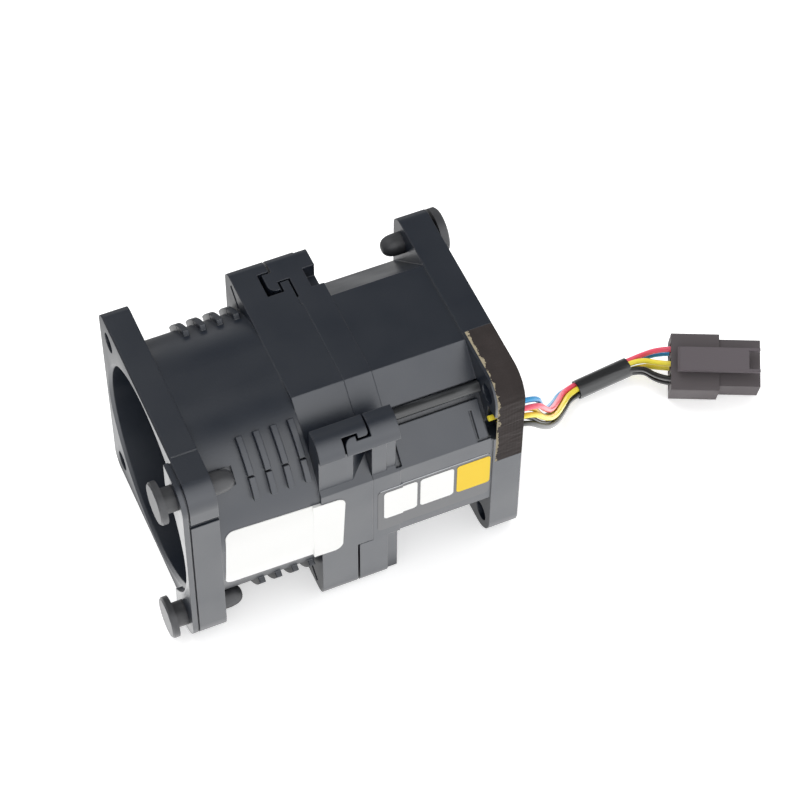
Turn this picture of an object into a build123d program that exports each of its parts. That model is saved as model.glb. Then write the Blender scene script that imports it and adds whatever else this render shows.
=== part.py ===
"""Server fan module: two 40 mm fans in line in one duct, turning against each other.

The fan axis is X, from the inlet face to the outlet face, and the module stands on the
edges of its square end flanges. The origin is on the floor under the module's middle.
Sizes are in millimetres. The fan is drawn round X and lifted to the height of its axis
when it is written, so in the fan's own functions z is measured from the axis. The
pigtail is drawn at its height above the floor.
"""
import os
from math import cos, radians, sin, sqrt, tan

from build123d import *

# The module
fan_side = 40.0
module_length = 56.0
front_fan_length = 30.2
duct_radius = 18.5
mouth_chamfer = 0.5
front_flange = 4.6
rear_flange = 5.1
near_corner_radius = 4.5
far_corner_radius = 2.5
hole_to_edge = 4.0
rear_hole_to_edge = 3.2
hole_radius = 1.75
top_relief = 0.2
corner_pad = 8.4
front_lip = 1.15
lip_width = 7.8
seam_width = 0.3
seam_depth = 0.3
level_line_place = 12.6
level_line_width = 1.0
level_line_depth = 0.5

# The front barrel, and the collars where the two fans meet
barrel_inset = 0.15
barrel_flat = 5.7
front_collar_length = 8.8
collar_inset = 0.1
rear_collar_length = 4.7
rear_barrel_inset = 0.25
rib_count = 4
rib_pitch = 2.85
rib_width = 1.0
rib_height = 1.0
last_rib_to_collar = 1.35
rib_start_angle = 32.0
rib_end_angle = 59.5
mould_line_angle = 42.5
mould_line_gap = 0.3
pocket_radius = 2.3
pocket_length = 4.4

# The block hooks and the bar hooks that hold the fans together
hook_gap = 0.35
seat_gap = 0.05
block_corner_radius = 2.2
block_root = 7.0
block_tongue_out = 13.7
block_tongue_length = 1.4
block_lip_length = 2.3
block_step = 2.1
block_setback = 1.1
block_slot = 1.1
block_slot_length = 4.0
block_slot_depth = 3.0
block_pocket_length = 4.25
block_pocket_floor = 11.75
block_pocket_top = 16.55
block_nose_gap = 0.35
block_nose_radius = 1.3
block_line_end = 9.9
block_recess_low = 11.0
block_recess_high = 15.1
block_recess_depth = 2.7
bar_width = 4.6
bar_height = 3.3
bar_corner_radius = 3.8
bar_web_inset = 0.75
bar_tongue_end = 0.15
bar_nose_end = 0.95
bar_tongue_radius = 0.6
bar_nose_radius = 1.3
bar_pocket_length = 4.3
bar_end_gap = 0.25
bar_notch_depth = 2.6
slope_slot_start = 6.3
slope_slot_width = 1.0
slope_slot_low = -7.7
slope_slot_high = -4.0
slope_slot_depth = 0.6

# Impellers
tip_gap = 0.5
hub_radius = 11.5
hub_wall = 1.3
hub_end_wall = 1.8
hub_nose_radius = 1.6
hub_to_base_gap = 0.8
front_hub_length = 22.4
rear_hub_length = 19.0
front_blade_count = 7
rear_blade_count = 5
blade_thickness = 1.2
blade_twist = 58.0
blade_margin = 1.3
blade_start = 4.4

# Motors
base_thickness = 1.6
base_floor = 0.6
vane_count = 7
vane_thickness = 1.2
vane_reach = 4.0
vane_gap = 0.6
shaft_radius = 1.0
bearing_radius = 3.0
bearing_width = 2.5
bearing_ring = 0.55
ball_radius = 0.5
ball_count = 7
ball_gap = 0.03
lower_bearing = 0.6
tube_wall = 0.8
tube_step = 0.3
yoke_thickness = 0.6
magnet_thickness = 1.0
air_gap = 0.4
pole_count = 4
pole_width = 2.2
pole_shoe = 1.0
core_ring = 1.0
core_start = 3.0
core_end_gap = 5.3
pole_gap = 1.8
insulator_thickness = 0.8
coil_thickness = 0.9
board_thickness = 0.8
board_radius = 9.2

# Rubber pins
pin_fit = 0.05
pin_neck_radius = 2.1
pin_head_radius = 3.5
pin_head = 1.2
pin_neck = 2.0
pin_tail_radius = 1.85
pin_tail = 4.1
pin_tail_straight = 0.9
rear_pin_head_radius = 3.9
rear_pin_head = 1.45
rear_pin_neck = 0.55
rear_pin_tail = 3.6

# Label, film, patches and tape
label_length = 20.0
label_height = 13.6
label_corner = 1.5
label_turn = 2.5
label_x = -12.8
label_z = -0.2
label_thickness = 0.1
film_start = 3.0
film_end = 22.6
film_low = -6.4
film_high = 4.3
film_thickness = 0.05
patch_thickness = 0.05
patch_width = 5.8
patch_height = 7.0
patch_corner = 0.6
patch_pitch = 6.35
first_patch_x = 6.95
patch_z = 0.05
tape_thickness = 0.12
tape_width = 4.7
tape_top_end = -7.0
tape_low_end = 1.7

# Lead channel on the near top slope, and the notch where the wires leave the flange
channel_width = 3.0
channel_depth = 0.8
channel_place = 0.15
channel_start = 7.3
leads_radius = 0.95
leads_place = 0.5
flange_gap = 0.75
flange_gap_depth = 0.8
tongue_line_start = 20.2
tongue_line_high = -2.9
tongue_line_low = -8.1
tongue_line_width = 0.4
tongue_line_depth = 0.4
notch_depth = 2.8
notch_low = 7.8
notch_high = 13.5

# The six wires of the pigtail and their sleeve
wire_radius = 0.47
sleeve_length = 10.1
sleeve_wall = 0.18
sleeve_ring = 0.99
sleeve_gap = 0.07
exit_column = 0.45
exit_row = 0.85

# The plug at the end of the pigtail
plug_length = 15.2
plug_width = 10.0
plug_thickness = 6.5
plug_nose_length = 7.0
plug_nose_inset = 0.9
plug_nose_step = 0.4
plug_heading = -24.8
plug_roll = 22.0
plug_corner = 0.4
cavity_pitch = 2.7
cavity_size = 1.9
terminal_size = 1.6
terminal_length = 9.0
terminal_start = 2.0
lever_start = 1.0
lever_end = 13.1
lever_width = 4.2
lever_thickness = 1.0
lever_rise = 0.8
lever_pivot = 7.5
lever_pin_radius = 0.42
lever_pin_width = 2.6
lever_groove_radius = 0.5
lever_groove_height = 0.25
lever_web = 0.4
prong_length = 1.9
prong_width = 0.5

# The pigtail's centre line, each point with its height above the floor. It leaves the
# flange straight, comes down under its own weight and lies along the floor in its sleeve.
# With each point: how far the wires have closed up from two columns to a ring there,
# and how far the ring has turned.
stations = [
    ((22.7, -18.45, 30.65), 0.0, 0.0),
    ((29.9, -18.45, 30.65), 0.0, 0.0),
    ((34.0, -15.3, 22.2), 0.3, -15.0),
    ((38.4, -9.9, 13.2), 0.6, -30.0),
    ((43.1, -3.8, 5.6), 0.85, -45.0),
    ((46.9, 0.75, 1.65), 1.0, -60.0),
    ((51.9, 1.12, 1.88), 1.0, -70.0),
    ((61.5, 1.82, 2.33), 1.0, -90.0),
]
plug_back = (64.8, -2.76)
sleeve_start = 2.2

# Each wire: the side and row it leaves in, its angle in the ring, and its place in the plug
wires = {
    "blue_wire": ((1, 2.5), 60, (1, -1)),
    "red_wire": ((-1, 1.5), 120, (1, 1)),
    "yellow_wire_1": ((1, 0.5), 0, (0, -1)),
    "yellow_wire_2": ((-1, -0.5), 180, (0, 1)),
    "black_wire_1": ((1, -1.5), 300, (-1, -1)),
    "black_wire_2": ((-1, -2.5), 240, (-1, 1)),
}
plug_lead_in = 1.6

half = fan_side / 2
barrel_half = half - barrel_inset
barrel_corner_radius = barrel_half - barrel_flat / 2
collar_half = half - collar_inset
rear_barrel_half = half - rear_barrel_inset
inlet_x = -module_length / 2
outlet_x = module_length / 2
joint_x = inlet_x + front_fan_length
front_flange_back = inlet_x + front_flange
barrel_length = front_fan_length - front_flange - front_collar_length
barrel_end = front_flange_back + barrel_length
rear_collar_end = joint_x + rear_collar_length
rear_flange_front = outlet_x - rear_flange
hole_pitch = fan_side - 2 * hole_to_edge
rear_hole_pitch = fan_side - 2 * rear_hole_to_edge
pin_place = hole_pitch / 2
rear_pin_place = rear_hole_pitch / 2
tip_radius = duct_radius - tip_gap
cup_radius = hub_radius - hub_wall
tube_radius = bearing_radius + tube_wall
inner_magnet_radius = cup_radius - yoke_thickness - magnet_thickness
diagonal = sqrt(0.5)


def between(x_from, x_to, sketch):
    """A sketch in the fan's Y and Z, made solid between two places on the axis."""
    return extrude(Plane.YZ.offset(x_from) * sketch, amount=x_to - x_from)


def octagon(apothem):
    return RegularPolygon(apothem, 8, major_radius=False, rotation=22.5)


def rounded_square(half_side, radius):
    return RectangleRounded(2 * half_side, 2 * half_side, radius)


def window(first_low, first_high, second_low, second_high):
    """A rectangle between four edges."""
    middle = Pos((first_low + first_high) / 2, (second_low + second_high) / 2)
    return middle * Rectangle(first_high - first_low, second_high - second_low)


def box(x_range, y_range, z_range):
    return between(*x_range, window(*y_range, *z_range))


def polygon(points):
    return make_face(Polyline(*points, close=True))


def both_sides(shape):
    """The shape, and the same again half a turn round the fan axis."""
    return [shape, Rot(180, 0, 0) * shape]


def flange_outline(inset=0.0):
    """A square whose near corners, at negative Y, are rounder than its far ones."""
    square = Rectangle(fan_side - 2 * inset, fan_side - 2 * inset)
    near = square.vertices().sort_by(Axis.X)[:2]
    square = fillet(near, near_corner_radius - inset)
    far = square.vertices().sort_by(Axis.X)[-2:]
    return fillet(far, far_corner_radius - inset)


def hole_places(side):
    """The four screw places of a flange: the pitch across differs, the height does not."""
    return [(y, z) for y in (-side, side) for z in (-pin_place, pin_place)]


def rounded_at(face, point, radius):
    """The face with its corner nearest to a point rounded."""
    corner = face.vertices().sort_by_distance(point)[0]
    return fillet(corner, radius)


def rod(x_from, x_to, y, z, radius):
    return between(x_from, x_to, Pos(y, z) * Circle(radius))


def sector(start_angle, end_angle):
    """A wedge from the axis outward, its angles measured from the near side upward."""
    reach = 2 * fan_side
    corners = [(0, 0)]
    for angle in (start_angle, end_angle):
        turn = radians(angle)
        corners.append((-reach * cos(turn), reach * sin(turn)))
    return polygon(corners)


def barrel_ribs():
    """Short ribs round each corner of the front barrel, parted at the mould line."""
    raised = rounded_square(barrel_half + rib_height, barrel_corner_radius + rib_height)
    raised = raised & rounded_square(half, near_corner_radius)
    raised = raised - rounded_square(barrel_half, barrel_corner_radius)
    gap = degrees_at(barrel_half, mould_line_gap)
    parts = []
    for quarter in range(4):
        turn = Rot(0, 0, 90 * quarter)
        below = turn * sector(rib_start_angle, mould_line_angle - gap / 2)
        above = turn * sector(mould_line_angle + gap / 2, rib_end_angle)
        for number in range(rib_count):
            end = barrel_end - last_rib_to_collar + rib_width / 2 - number * rib_pitch
            parts.append(between(end - rib_width, end, raised & below))
            parts.append(between(end - rib_width, end, raised & above))
    return parts


def degrees_at(radius, distance):
    return 57.2958 * distance / radius


def block_profile():
    """The front fan's share of a block hook, seen from above: X, then distance out."""
    tongue_end = joint_x - hook_gap
    pocket_start = tongue_end - block_pocket_length
    top = half + 0.5
    return polygon([
        (barrel_end - 1, block_root), (tongue_end, block_root),
        (tongue_end, block_tongue_out), (tongue_end - block_tongue_length, block_tongue_out),
        (tongue_end - block_tongue_length, block_pocket_floor),
        (pocket_start, block_pocket_floor), (pocket_start, block_pocket_top),
        (tongue_end - block_lip_length, block_pocket_top), (tongue_end - block_lip_length, top),
        (barrel_end - 1, top),
    ])


def bar_profile():
    """The front fan's share of a bar hook, in X and across the slope below the bar."""
    bar_end = joint_x - bar_end_gap
    tongue = bar_tongue_end
    nose = bar_nose_end
    return polygon([
        (barrel_end - 1, 5), (bar_end, 5), (bar_end, tongue), (bar_end - 1.75, tongue),
        (bar_end - 1.75, nose), (bar_end - bar_pocket_length, nose),
        (bar_end - bar_pocket_length, -5), (barrel_end - 1, -5),
    ])


def rest_of(profile):
    """What the other fan has of the same hook: the rest, less the gap between them."""
    whole = window(barrel_end - 1, rear_collar_end, -fan_side, fan_side)
    return whole - offset(profile, hook_gap, kind=Kind.INTERSECTION)


def block_nose(profile):
    """The rear fan's share of a block hook: a rounded nose, and a line that ends early."""
    low = block_pocket_floor + hook_gap
    left = joint_x - block_pocket_length
    right = joint_x - 2.2
    share = rest_of(profile)
    share = share - window(left - 0.1, left + block_nose_gap, low - 0.1, block_pocket_top)
    share = share - window(left - 0.1, right, low - 0.1, low + block_nose_gap)
    share = rounded_at(share, (left + block_nose_gap, low + block_nose_gap), block_nose_radius)
    return share + window(joint_x - hook_gap + seat_gap, joint_x + 0.1, 7, block_line_end)


def bar_nose(profile):
    """The rear fan's share of a bar hook, with its nose rounded off."""
    nose_start = joint_x - bar_end_gap - bar_pocket_length + hook_gap
    corner = (nose_start, bar_nose_end - hook_gap)
    return rounded_at(rest_of(profile), corner, bar_nose_radius)


def block_hook(profile):
    """A share of the solid corner block at the far top, hollow side to the collar."""
    corner = rounded_square(collar_half, block_corner_radius) & window(0, half, 0, half)
    step_x = rear_collar_end - block_step
    shape = between(barrel_end, step_x, corner)
    set_back = corner & window(0, collar_half - block_setback, 0, half)
    shape = shape + between(step_x, rear_collar_end, set_back)
    recess = box((step_x, rear_collar_end), (block_recess_low, block_recess_high),
                 (collar_half - block_recess_depth, half))
    share = extrude(Plane.XY * profile, amount=half, both=True)
    middle = Pos(collar_half - 4.25, collar_half - 2.5)
    slot_line = middle * Rot(0, 0, 34) * Rectangle(block_slot_length, block_slot)
    slot = between(barrel_end, barrel_end + block_slot_depth, slot_line)
    return (shape & share) - slot - recess


def bar_hook(profile):
    """A share of the bar at the near top, which stands clear of the sloping side."""
    inner = collar_half - bar_width
    low = collar_half - bar_height
    section = rounded_square(collar_half, bar_corner_radius) & window(-half, -inner, low, half)
    slope = Plane(origin=(0, 0, 0), x_dir=(1, 0, 0), z_dir=(0, -diagonal, diagonal))
    share = extrude(slope * profile, amount=2 * half)
    return between(barrel_end, rear_collar_end, section) & share


def bar_web_box(x_from, x_to, outer, top):
    inner = collar_half - bar_width
    return box((x_from, x_to), (-outer, -inner), (0, top))


def bar_web_ramp(x_from, x_to, outer, top):
    """The end of the front web, which falls away inward to a notch at the joint."""
    inner = collar_half - bar_width
    face = polygon([(x_from, -outer), (x_to, bar_notch_depth - outer), (x_to, -inner),
                    (x_from, -inner)])
    return extrude(Plane.XY * face, amount=top)


def hook_parts():
    """The hook shares of the front fan and of the rear fan."""
    low = collar_half - bar_height
    block = block_profile()
    bar = bar_profile()
    under_bar = joint_x - bar_end_gap - bar_pocket_length
    notch_from = joint_x - 3.1
    outer = collar_half - bar_web_inset
    front = both_sides(block_hook(block))
    tongue_corner = (joint_x - bar_end_gap, bar_tongue_end)
    front += both_sides(bar_hook(rounded_at(bar, tongue_corner, bar_tongue_radius)))
    front += both_sides(bar_web_box(barrel_end, under_bar, outer, low))
    front += both_sides(bar_web_box(under_bar, notch_from, outer, low - 0.1))
    front += both_sides(bar_web_ramp(notch_from, joint_x, outer, low - 0.1))
    rear = both_sides(block_hook(block_nose(block))) + both_sides(bar_hook(bar_nose(bar)))
    rear += both_sides(bar_web_box(joint_x, joint_x + 2.5, outer + 0.25, low))
    rear += both_sides(bar_web_box(joint_x + 2.5, slope_slot_start, outer, low))
    return front, rear


def duct():
    bore = between(inlet_x, outlet_x, Circle(duct_radius))
    bore = bore + between(inlet_x - front_lip, inlet_x, Circle(duct_radius + mouth_chamfer))
    length = mouth_chamfer
    mouth = Plane(origin=(inlet_x, 0, 0), z_dir=(1, 0, 0)) * Pos(0, 0, length / 2)
    inlet = mouth * Cone(duct_radius + length, duct_radius, length)
    return bore + inlet + Rot(0, 0, 180) * inlet


def vanes(x_from, x_to, past_base):
    """Flat radial vanes: full length beside the hub, and closer in over the base disc."""
    parts = []
    for number in range(vane_count):
        turn = Rot(360 * number / vane_count + 12, 0, 0)
        beside = box((x_from, x_to), (hub_radius + vane_gap, duct_radius + 0.4),
                     (-vane_thickness / 2, vane_thickness / 2))
        over = box(past_base, (hub_radius - 1, duct_radius + 0.4),
                   (-vane_thickness / 2, vane_thickness / 2))
        parts.append(turn * (beside + over))
    return parts


def screw_holes(x_from, x_to, side):
    return [rod(x_from, x_to, y, z, hole_radius) for y, z in hole_places(side)]


def tube_seat(x_from, x_to):
    return between(x_from, x_to, Circle(tube_radius))


def near_lip():
    """The inlet flange is thicker along its near side, where the rubber pins sit."""
    share = flange_outline() & window(-half, lip_width - half, -half, half)
    return between(inlet_x - front_lip, inlet_x, share)


def front_housing():
    flange = between(inlet_x, front_flange_back, flange_outline()) + near_lip()
    barrel_section = rounded_square(barrel_half, barrel_corner_radius)
    barrel = between(front_flange_back, barrel_end, barrel_section)
    collar = between(barrel_end, joint_x, octagon(collar_half))
    front_hooks, _ = hook_parts()
    shell = flange + barrel + collar + barrel_ribs() + front_hooks
    pocket_end = front_flange_back + pocket_length
    pockets = [rod(front_flange_back, pocket_end, -pin_place, z, pocket_radius)
               for z in (-pin_place, pin_place)]
    shell = shell - duct() - pockets
    shell = shell - screw_holes(inlet_x - front_lip, front_flange_back, pin_place)
    shell = shell - front_flange_marks()
    base_from = joint_x - base_thickness
    shell = shell + between(base_from, joint_x, Circle(hub_radius))
    shell = shell + vanes(joint_x - base_thickness - vane_reach, joint_x, (base_from, joint_x))
    return shell - tube_seat(base_from, joint_x - base_floor)


def front_flange_marks():
    """The lower pad at the near top corner, the seam of the lip and a level groove."""
    step_y = corner_pad - half
    low = half - top_relief
    pad = box((inlet_x - front_lip, front_flange_back), (-half, step_y), (low, half))
    edge = box((inlet_x, inlet_x + top_relief), (step_y, half), (low, half))
    level = box((inlet_x, front_flange_back), (-half, level_line_depth - half),
                (level_line_place - level_line_width / 2, level_line_place + level_line_width / 2))
    skin = flange_outline() - flange_outline(seam_depth + top_relief)
    skin = skin & window(-half, step_y, -half, half)
    seam = between(inlet_x - seam_width, inlet_x, skin)
    return [pad, edge, level, seam]


def slope_box(x_range, place_range, distance_range):
    """A box that lies on the near top slope: X, across the slope, distance from the axis."""
    slope = Plane(origin=(0, 0, 0), x_dir=(1, 0, 0), z_dir=(0, -diagonal, diagonal))
    low, high = distance_range
    return extrude(slope.offset(low) * window(*x_range, *place_range), amount=high - low)


def lead_channel():
    """The channel for the motor leads, and the gap in which they go on to the notch."""
    floor = rear_barrel_half - channel_depth
    low = channel_place - channel_width / 2
    run = slope_box((channel_start, rear_flange_front), (low, low + channel_width),
                    (floor, half + 4))
    gap = slope_box((rear_flange_front - flange_gap, rear_flange_front),
                    (tongue_line_low, low + 0.1), (rear_barrel_half - flange_gap_depth, half + 4))
    notch = box((rear_flange_front - 0.35, outlet_x), (-half, -half + notch_depth),
                (notch_low, notch_high))
    return [run, gap, notch]


def tongue_lines():
    """Grooves in the near top slope: an L round a small tongue, and a slot by the bar."""
    groove_floor = rear_barrel_half - tongue_line_depth
    upright = slope_box((tongue_line_start, tongue_line_start + tongue_line_width),
                        (tongue_line_low, tongue_line_high), (groove_floor, half + 4))
    level = slope_box((tongue_line_start, rear_flange_front),
                      (tongue_line_low, tongue_line_low + tongue_line_width),
                      (groove_floor, half + 4))
    slot = slope_box((slope_slot_start, slope_slot_start + slope_slot_width),
                     (slope_slot_low, slope_slot_high),
                     (rear_barrel_half - slope_slot_depth, half + 4))
    return [upright, level, slot]


def corner_tape():
    """Thin tape round the near top corner of the rear flange, let in by its thickness."""
    strip = flange_outline() - flange_outline(tape_thickness)
    strip = strip & window(-half, tape_top_end, tape_low_end, half)
    return between(outlet_x - tape_width, outlet_x, strip)


def rear_housing():
    flange = between(rear_flange_front, outlet_x, flange_outline())
    barrel = between(rear_collar_end, rear_flange_front, octagon(rear_barrel_half))
    collar = between(joint_x, rear_collar_end, octagon(collar_half))
    _, rear_hooks = hook_parts()
    shell = flange + barrel + collar + rear_hooks
    front_collar = between(barrel_end - 1, joint_x, octagon(collar_half + seat_gap))
    shell = shell - duct() - front_collar
    shell = shell - screw_holes(rear_flange_front, outlet_x, rear_pin_place)
    grooves = [groove & between(joint_x, rear_flange_front, rounded_square(half, 1))
               for groove in tongue_lines()]
    shell = shell - lead_channel() - grooves
    base_to = joint_x + base_thickness
    shell = shell + between(joint_x, base_to, Circle(hub_radius))
    shell = shell + vanes(joint_x, joint_x + base_thickness + vane_reach, (joint_x, base_to))
    return shell - tube_seat(joint_x + base_floor, base_to) - corner_tape()


def ring(inner, outer, low, high):
    """A plain ring on the motor's own axis, which is Z."""
    face = Circle(outer)
    if inner > 0:
        face = face - Circle(inner)
    return extrude(Plane.XY.offset(low) * face, amount=high - low)


def turned(points):
    """A profile of radius and height turned round the motor's own axis."""
    return revolve(Plane.XZ * polygon(points), Axis.Z)


def motor_heights(hub_length):
    """The heights above the base disc that the pieces of one motor share."""
    cup_top = hub_length - hub_end_wall
    return cup_top, core_start, cup_top - core_end_gap


def impeller(hub_length, blade_count, hand):
    """The hub cup, with blades that are radial bars stacked along the axis and turned."""
    cup_top = hub_length - hub_end_wall
    cup = ring(0, hub_radius, hub_to_base_gap, hub_length)
    rim = cup.edges().filter_by(GeomType.CIRCLE).sort_by(Axis.Z)[-1]
    cup = fillet(rim, hub_nose_radius)
    cup = cup - ring(0, cup_radius, hub_to_base_gap, cup_top)
    boss_low = cup_top - 1.2
    cup = cup + ring(0, 2.6, boss_low, cup_top)
    cup = cup - ring(0, shaft_radius, boss_low, cup_top + 1.2)
    root = hub_radius - 0.5
    bar_length = duct_radius + 1 - root
    top = hub_length - blade_margin
    sections = []
    steps = 5
    for step in range(steps):
        share = step / (steps - 1)
        angle = -hand * blade_twist * share ** 1.25
        height = blade_start + (top - blade_start) * share
        thickness = blade_thickness * (0.8 + 0.5 * share * (1 - share) * 4)
        bar = Pos(root + bar_length / 2, 0) * Rectangle(bar_length, thickness)
        sections.append(Plane.XY.offset(height) * Rot(0, 0, angle) * bar)
    blade = loft(sections) & ring(root, tip_radius, 0, hub_length)
    blades = [Rot(0, 0, 360 * number / blade_count) * blade for number in range(blade_count)]
    return cup + blades


def rotor_yoke(hub_length):
    cup_top, _, _ = motor_heights(hub_length)
    inner = cup_radius - yoke_thickness
    wall = ring(inner, cup_radius, 1.4, cup_top)
    return wall + ring(2.6, inner, cup_top - 0.5, cup_top)


def ring_magnet(hub_length):
    _, core_low, core_high = motor_heights(hub_length)
    outer = cup_radius - yoke_thickness
    return ring(inner_magnet_radius, outer, core_low - 0.8, core_high + 0.7)


def shaft(hub_length):
    cup_top, _, _ = motor_heights(hub_length)
    groove = ring(0.8, shaft_radius, 0.05, 0.45)
    return ring(0, shaft_radius, -0.2, cup_top + 1.2) - groove


def retaining_clip(_):
    return ring(0.8, 1.6, 0.1, 0.4)


def preload_washer(hub_length):
    """A thin cone pressed between the upper bearing and the hub's boss."""
    cup_top, _, _ = motor_heights(hub_length)
    low = cup_top - 1.85
    high = cup_top - 1.25
    skin = 0.15
    return turned([(1.1, low), (1.25, low), (1.9, high - skin), (1.9, high), (1.75, high),
                   (1.1, low + skin)])


def bearing_places(hub_length):
    cup_top, _, _ = motor_heights(hub_length)
    return [lower_bearing, cup_top - 1.9 - bearing_width]


def race_groove(low):
    middle = low + bearing_width / 2
    pitch = (shaft_radius + bearing_radius) / 2
    section = Pos(pitch, middle) * Circle(ball_radius + ball_gap)
    return revolve(Plane.XZ * section, Axis.Z)


def bearing_outer_rings(hub_length):
    rings = []
    for low in bearing_places(hub_length):
        outer = ring(bearing_radius - bearing_ring, bearing_radius, low, low + bearing_width)
        rings.append(outer - race_groove(low))
    return Compound(rings)


def bearing_inner_rings(hub_length):
    rings = []
    for low in bearing_places(hub_length):
        inner = ring(shaft_radius, shaft_radius + bearing_ring, low, low + bearing_width)
        rings.append(inner - race_groove(low))
    return Compound(rings)


def bearing_balls(hub_length):
    pitch = (shaft_radius + bearing_radius) / 2
    balls = []
    for low in bearing_places(hub_length):
        for number in range(ball_count):
            place = Rot(0, 0, 360 * number / ball_count) * Pos(pitch, 0, low + bearing_width / 2)
            balls.append(place * Sphere(ball_radius))
    return Compound(balls)


def bearing_tube(hub_length):
    """A brass tube with a wider seat at each end for a ball bearing."""
    lower, upper = bearing_places(hub_length)
    cup_top, _, _ = motor_heights(hub_length)
    tube = ring(bearing_radius - tube_step, tube_radius, -base_thickness + base_floor,
                cup_top - 1.3)
    tube = tube - ring(0, bearing_radius, -base_thickness, lower + bearing_width)
    return tube - ring(0, bearing_radius, upper, cup_top)


def arms(width, reach):
    shape = Circle(tube_radius + core_ring)
    for number in range(pole_count):
        arm = Pos(reach / 2, 0) * Rectangle(reach, width)
        shape = shape + Rot(0, 0, 360 * number / pole_count) * arm
    return shape


def stator_core(hub_length):
    _, low, high = motor_heights(hub_length)
    outer = inner_magnet_radius - air_gap
    shoes = Circle(outer) - Circle(outer - pole_shoe)
    gap = Rectangle(4 * outer, pole_gap)
    shoes = shoes - Rot(0, 0, 45) * gap - Rot(0, 0, -45) * gap
    face = arms(pole_width, outer - pole_shoe / 2) + shoes - Circle(tube_radius)
    return extrude(Plane.XY.offset(low) * face, amount=high - low)


def coil_insulators(hub_length):
    _, low, high = motor_heights(hub_length)
    outer = inner_magnet_radius - air_gap
    face = arms(pole_width, outer - pole_shoe / 2) - Circle(tube_radius)
    below = extrude(Plane.XY.offset(low - insulator_thickness) * face,
                    amount=insulator_thickness)
    above = extrude(Plane.XY.offset(high) * face, amount=insulator_thickness)
    return Compound([below, above])


def coils(hub_length):
    """One winding round each arm of the core, over the insulators."""
    _, low, high = motor_heights(hub_length)
    inner = tube_radius + core_ring + 0.1
    shoe = inner_magnet_radius - air_gap - pole_shoe
    length = sqrt(shoe ** 2 - (pole_width / 2 + coil_thickness) ** 2) - 0.1 - inner
    inside_height = high - low + 2 * insulator_thickness
    winding = Box(length, pole_width + 2 * coil_thickness, inside_height + 2 * coil_thickness)
    winding = fillet(winding.edges().filter_by(Axis.X), 0.8)
    winding = winding - Box(length, pole_width, inside_height)
    windings = []
    for number in range(pole_count):
        place = Pos(inner + length / 2, 0, (low + high) / 2)
        windings.append(Rot(0, 0, 360 * number / pole_count) * place * winding)
    return Compound(windings)


def circuit_board(_):
    return ring(tube_radius + 0.3, board_radius, 0.2, 0.2 + board_thickness)


def fan_pieces(name, hub_length, blade_count, facing):
    """All pieces of one motor and impeller, by name. The nose faces along X or against it."""
    base_face = joint_x + facing * base_thickness
    place = Plane(origin=(base_face, 0, 0), x_dir=(0, 1, 0), z_dir=(facing, 0, 0)).location
    makers = [rotor_yoke, ring_magnet, shaft, retaining_clip, preload_washer,
              bearing_outer_rings, bearing_inner_rings, bearing_balls, bearing_tube,
              stator_core, coil_insulators, coils, circuit_board]
    pieces = {name + "_impeller": place * impeller(hub_length, blade_count, 1)}
    for maker in makers:
        pieces[name + "_" + maker.__name__] = place * maker(hub_length)
    return pieces


def rubber_pin(face, flange, neck, head_radius, head, tail):
    """A pulled-through rubber pin: a wide head off the face and a rounded tail inside."""
    neck_end = face + neck
    tail_from = face - flange - 0.02
    shank = hole_radius - pin_fit
    soft = 0.3
    tip_from = tail_from - pin_tail_straight
    tip_end = tail_from - tail
    straights = Polyline(
        (0, tip_end), (0, neck_end + head), (head_radius - soft, neck_end + head),
        (head_radius, neck_end + head - soft), (head_radius, neck_end),
        (pin_neck_radius, neck_end), (pin_neck_radius, face + 0.02), (shank, face + 0.02),
        (shank, tail_from), (pin_tail_radius, tail_from), (pin_tail_radius, tip_from))
    tip = Spline((pin_tail_radius, tip_from), (0, tip_end), tangents=((0, -1), (-1, 0)))
    return revolve(Plane.XZ * make_face([straights, tip]), Axis.Z)


def pin_pair(pin, side, facing):
    """The same pin in the two holes of one side, its head facing along X or against it."""
    turned_pin = Plane(origin=(0, 0, 0), x_dir=(0, 1, 0), z_dir=(facing, 0, 0)).location * pin
    return Compound([Pos(0, side, z) * turned_pin for z in (-pin_place, pin_place)])


def near_side_block(face):
    """A flat shape in X and Z, as a solid through the near wall."""
    return extrude(Plane.XZ.offset(half - 1.5) * face, amount=1.6)


def label_envelope():
    """The surface that the label's outside follows: round barrel, then flat collar."""
    round_part = rounded_square(barrel_half + label_thickness,
                                barrel_corner_radius + label_thickness)
    bridge_start = barrel_end - 1.4
    barrel = between(front_flange_back, bridge_start, round_part)
    return barrel + between(bridge_start, joint_x, octagon(collar_half + label_thickness))


def info_label(housing):
    face = RectangleRounded(label_length, label_height, label_corner)
    face = Pos(label_x, label_z) * Rot(0, 0, -label_turn) * face
    return (near_side_block(face) & label_envelope()) - housing


def film_envelope(lift):
    """The near side raised by the lift, with the step off the collar set back by it too."""
    bridge_end = rear_collar_end + 0.35 + lift
    collar = between(joint_x, bridge_end, octagon(collar_half + lift))
    return collar + between(bridge_end, rear_flange_front, octagon(rear_barrel_half + lift))


def sticker_film(housing):
    face = window(film_start, film_end, film_low, film_high)
    face = fillet(face.vertices(), 0.8)
    return (near_side_block(face) & film_envelope(film_thickness)) - housing


def film_patch(number, film, housing):
    face = RectangleRounded(patch_width, patch_height, patch_corner)
    face = Pos(first_patch_x + number * patch_pitch, patch_z) * face
    envelope = film_envelope(film_thickness + patch_thickness)
    return (near_side_block(face) & envelope) - film - housing


def on_slope(x, place, distance):
    """A point by its place on the near top slope."""
    y = diagonal * (place - distance)
    z = diagonal * (place + distance)
    return Vector(x, y, z)


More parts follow.
